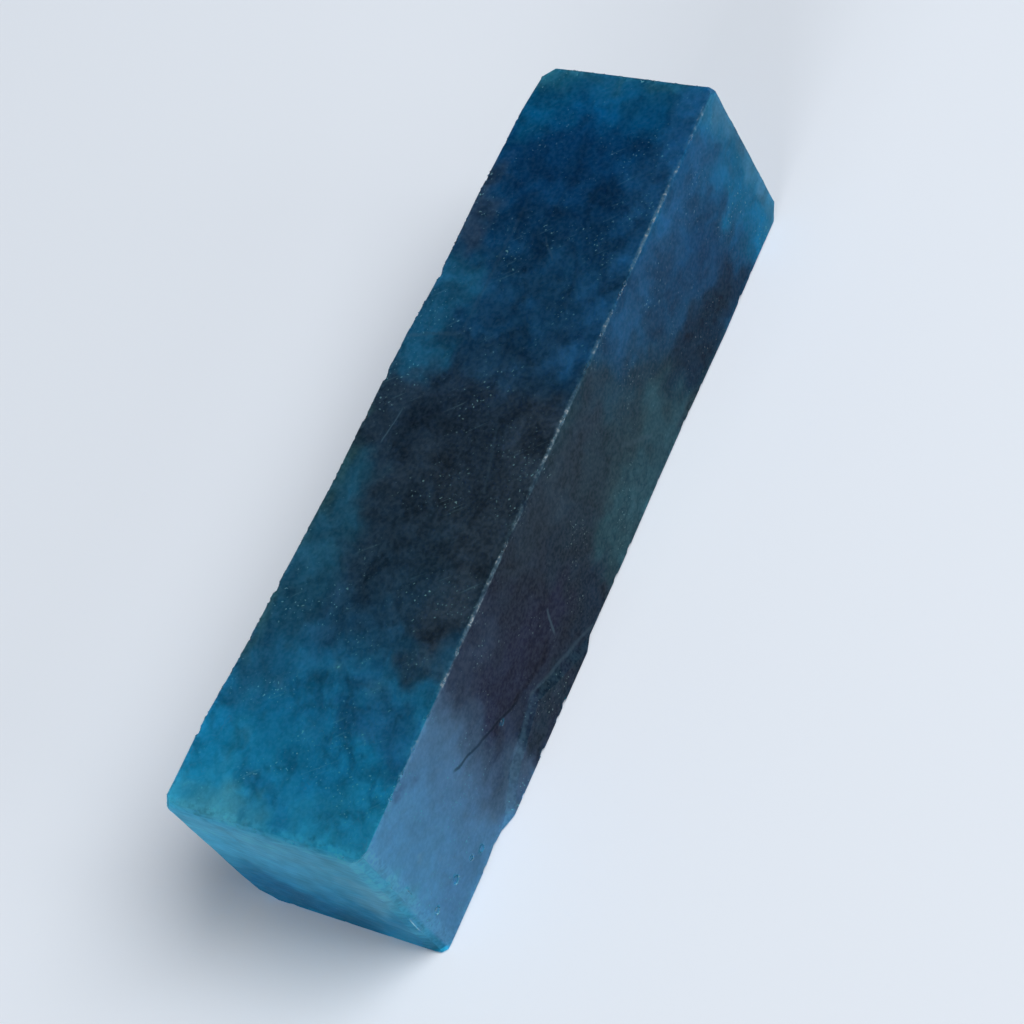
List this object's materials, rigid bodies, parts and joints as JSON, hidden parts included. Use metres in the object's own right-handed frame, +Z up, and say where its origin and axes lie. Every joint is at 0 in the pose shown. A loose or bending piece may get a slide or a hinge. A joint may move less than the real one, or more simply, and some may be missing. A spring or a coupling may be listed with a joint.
{
  "type": "aquamarine crystal bar",
  "caption": "Sawn and ground square bar of cloudy teal-blue beryl (aquamarine), with worn edges, chipped corners and a low saw spur; lies on a long flat face.",
  "frame": {"origin": "on the resting face, under the middle of the bar's bounding box", "axes": "+X along the bar from the rubbed end to the sharp end, +Y across it away from the saw spur, +Z up from the resting face"},
  "size_m": [0.1046, 0.0282, 0.0261],
  "materials": {
    "beryl": "ground satin, cloudy"
  },
  "bodies": {
    "root": {"aquamarine_crystal": "beryl"}
  },
  "joints": []
}
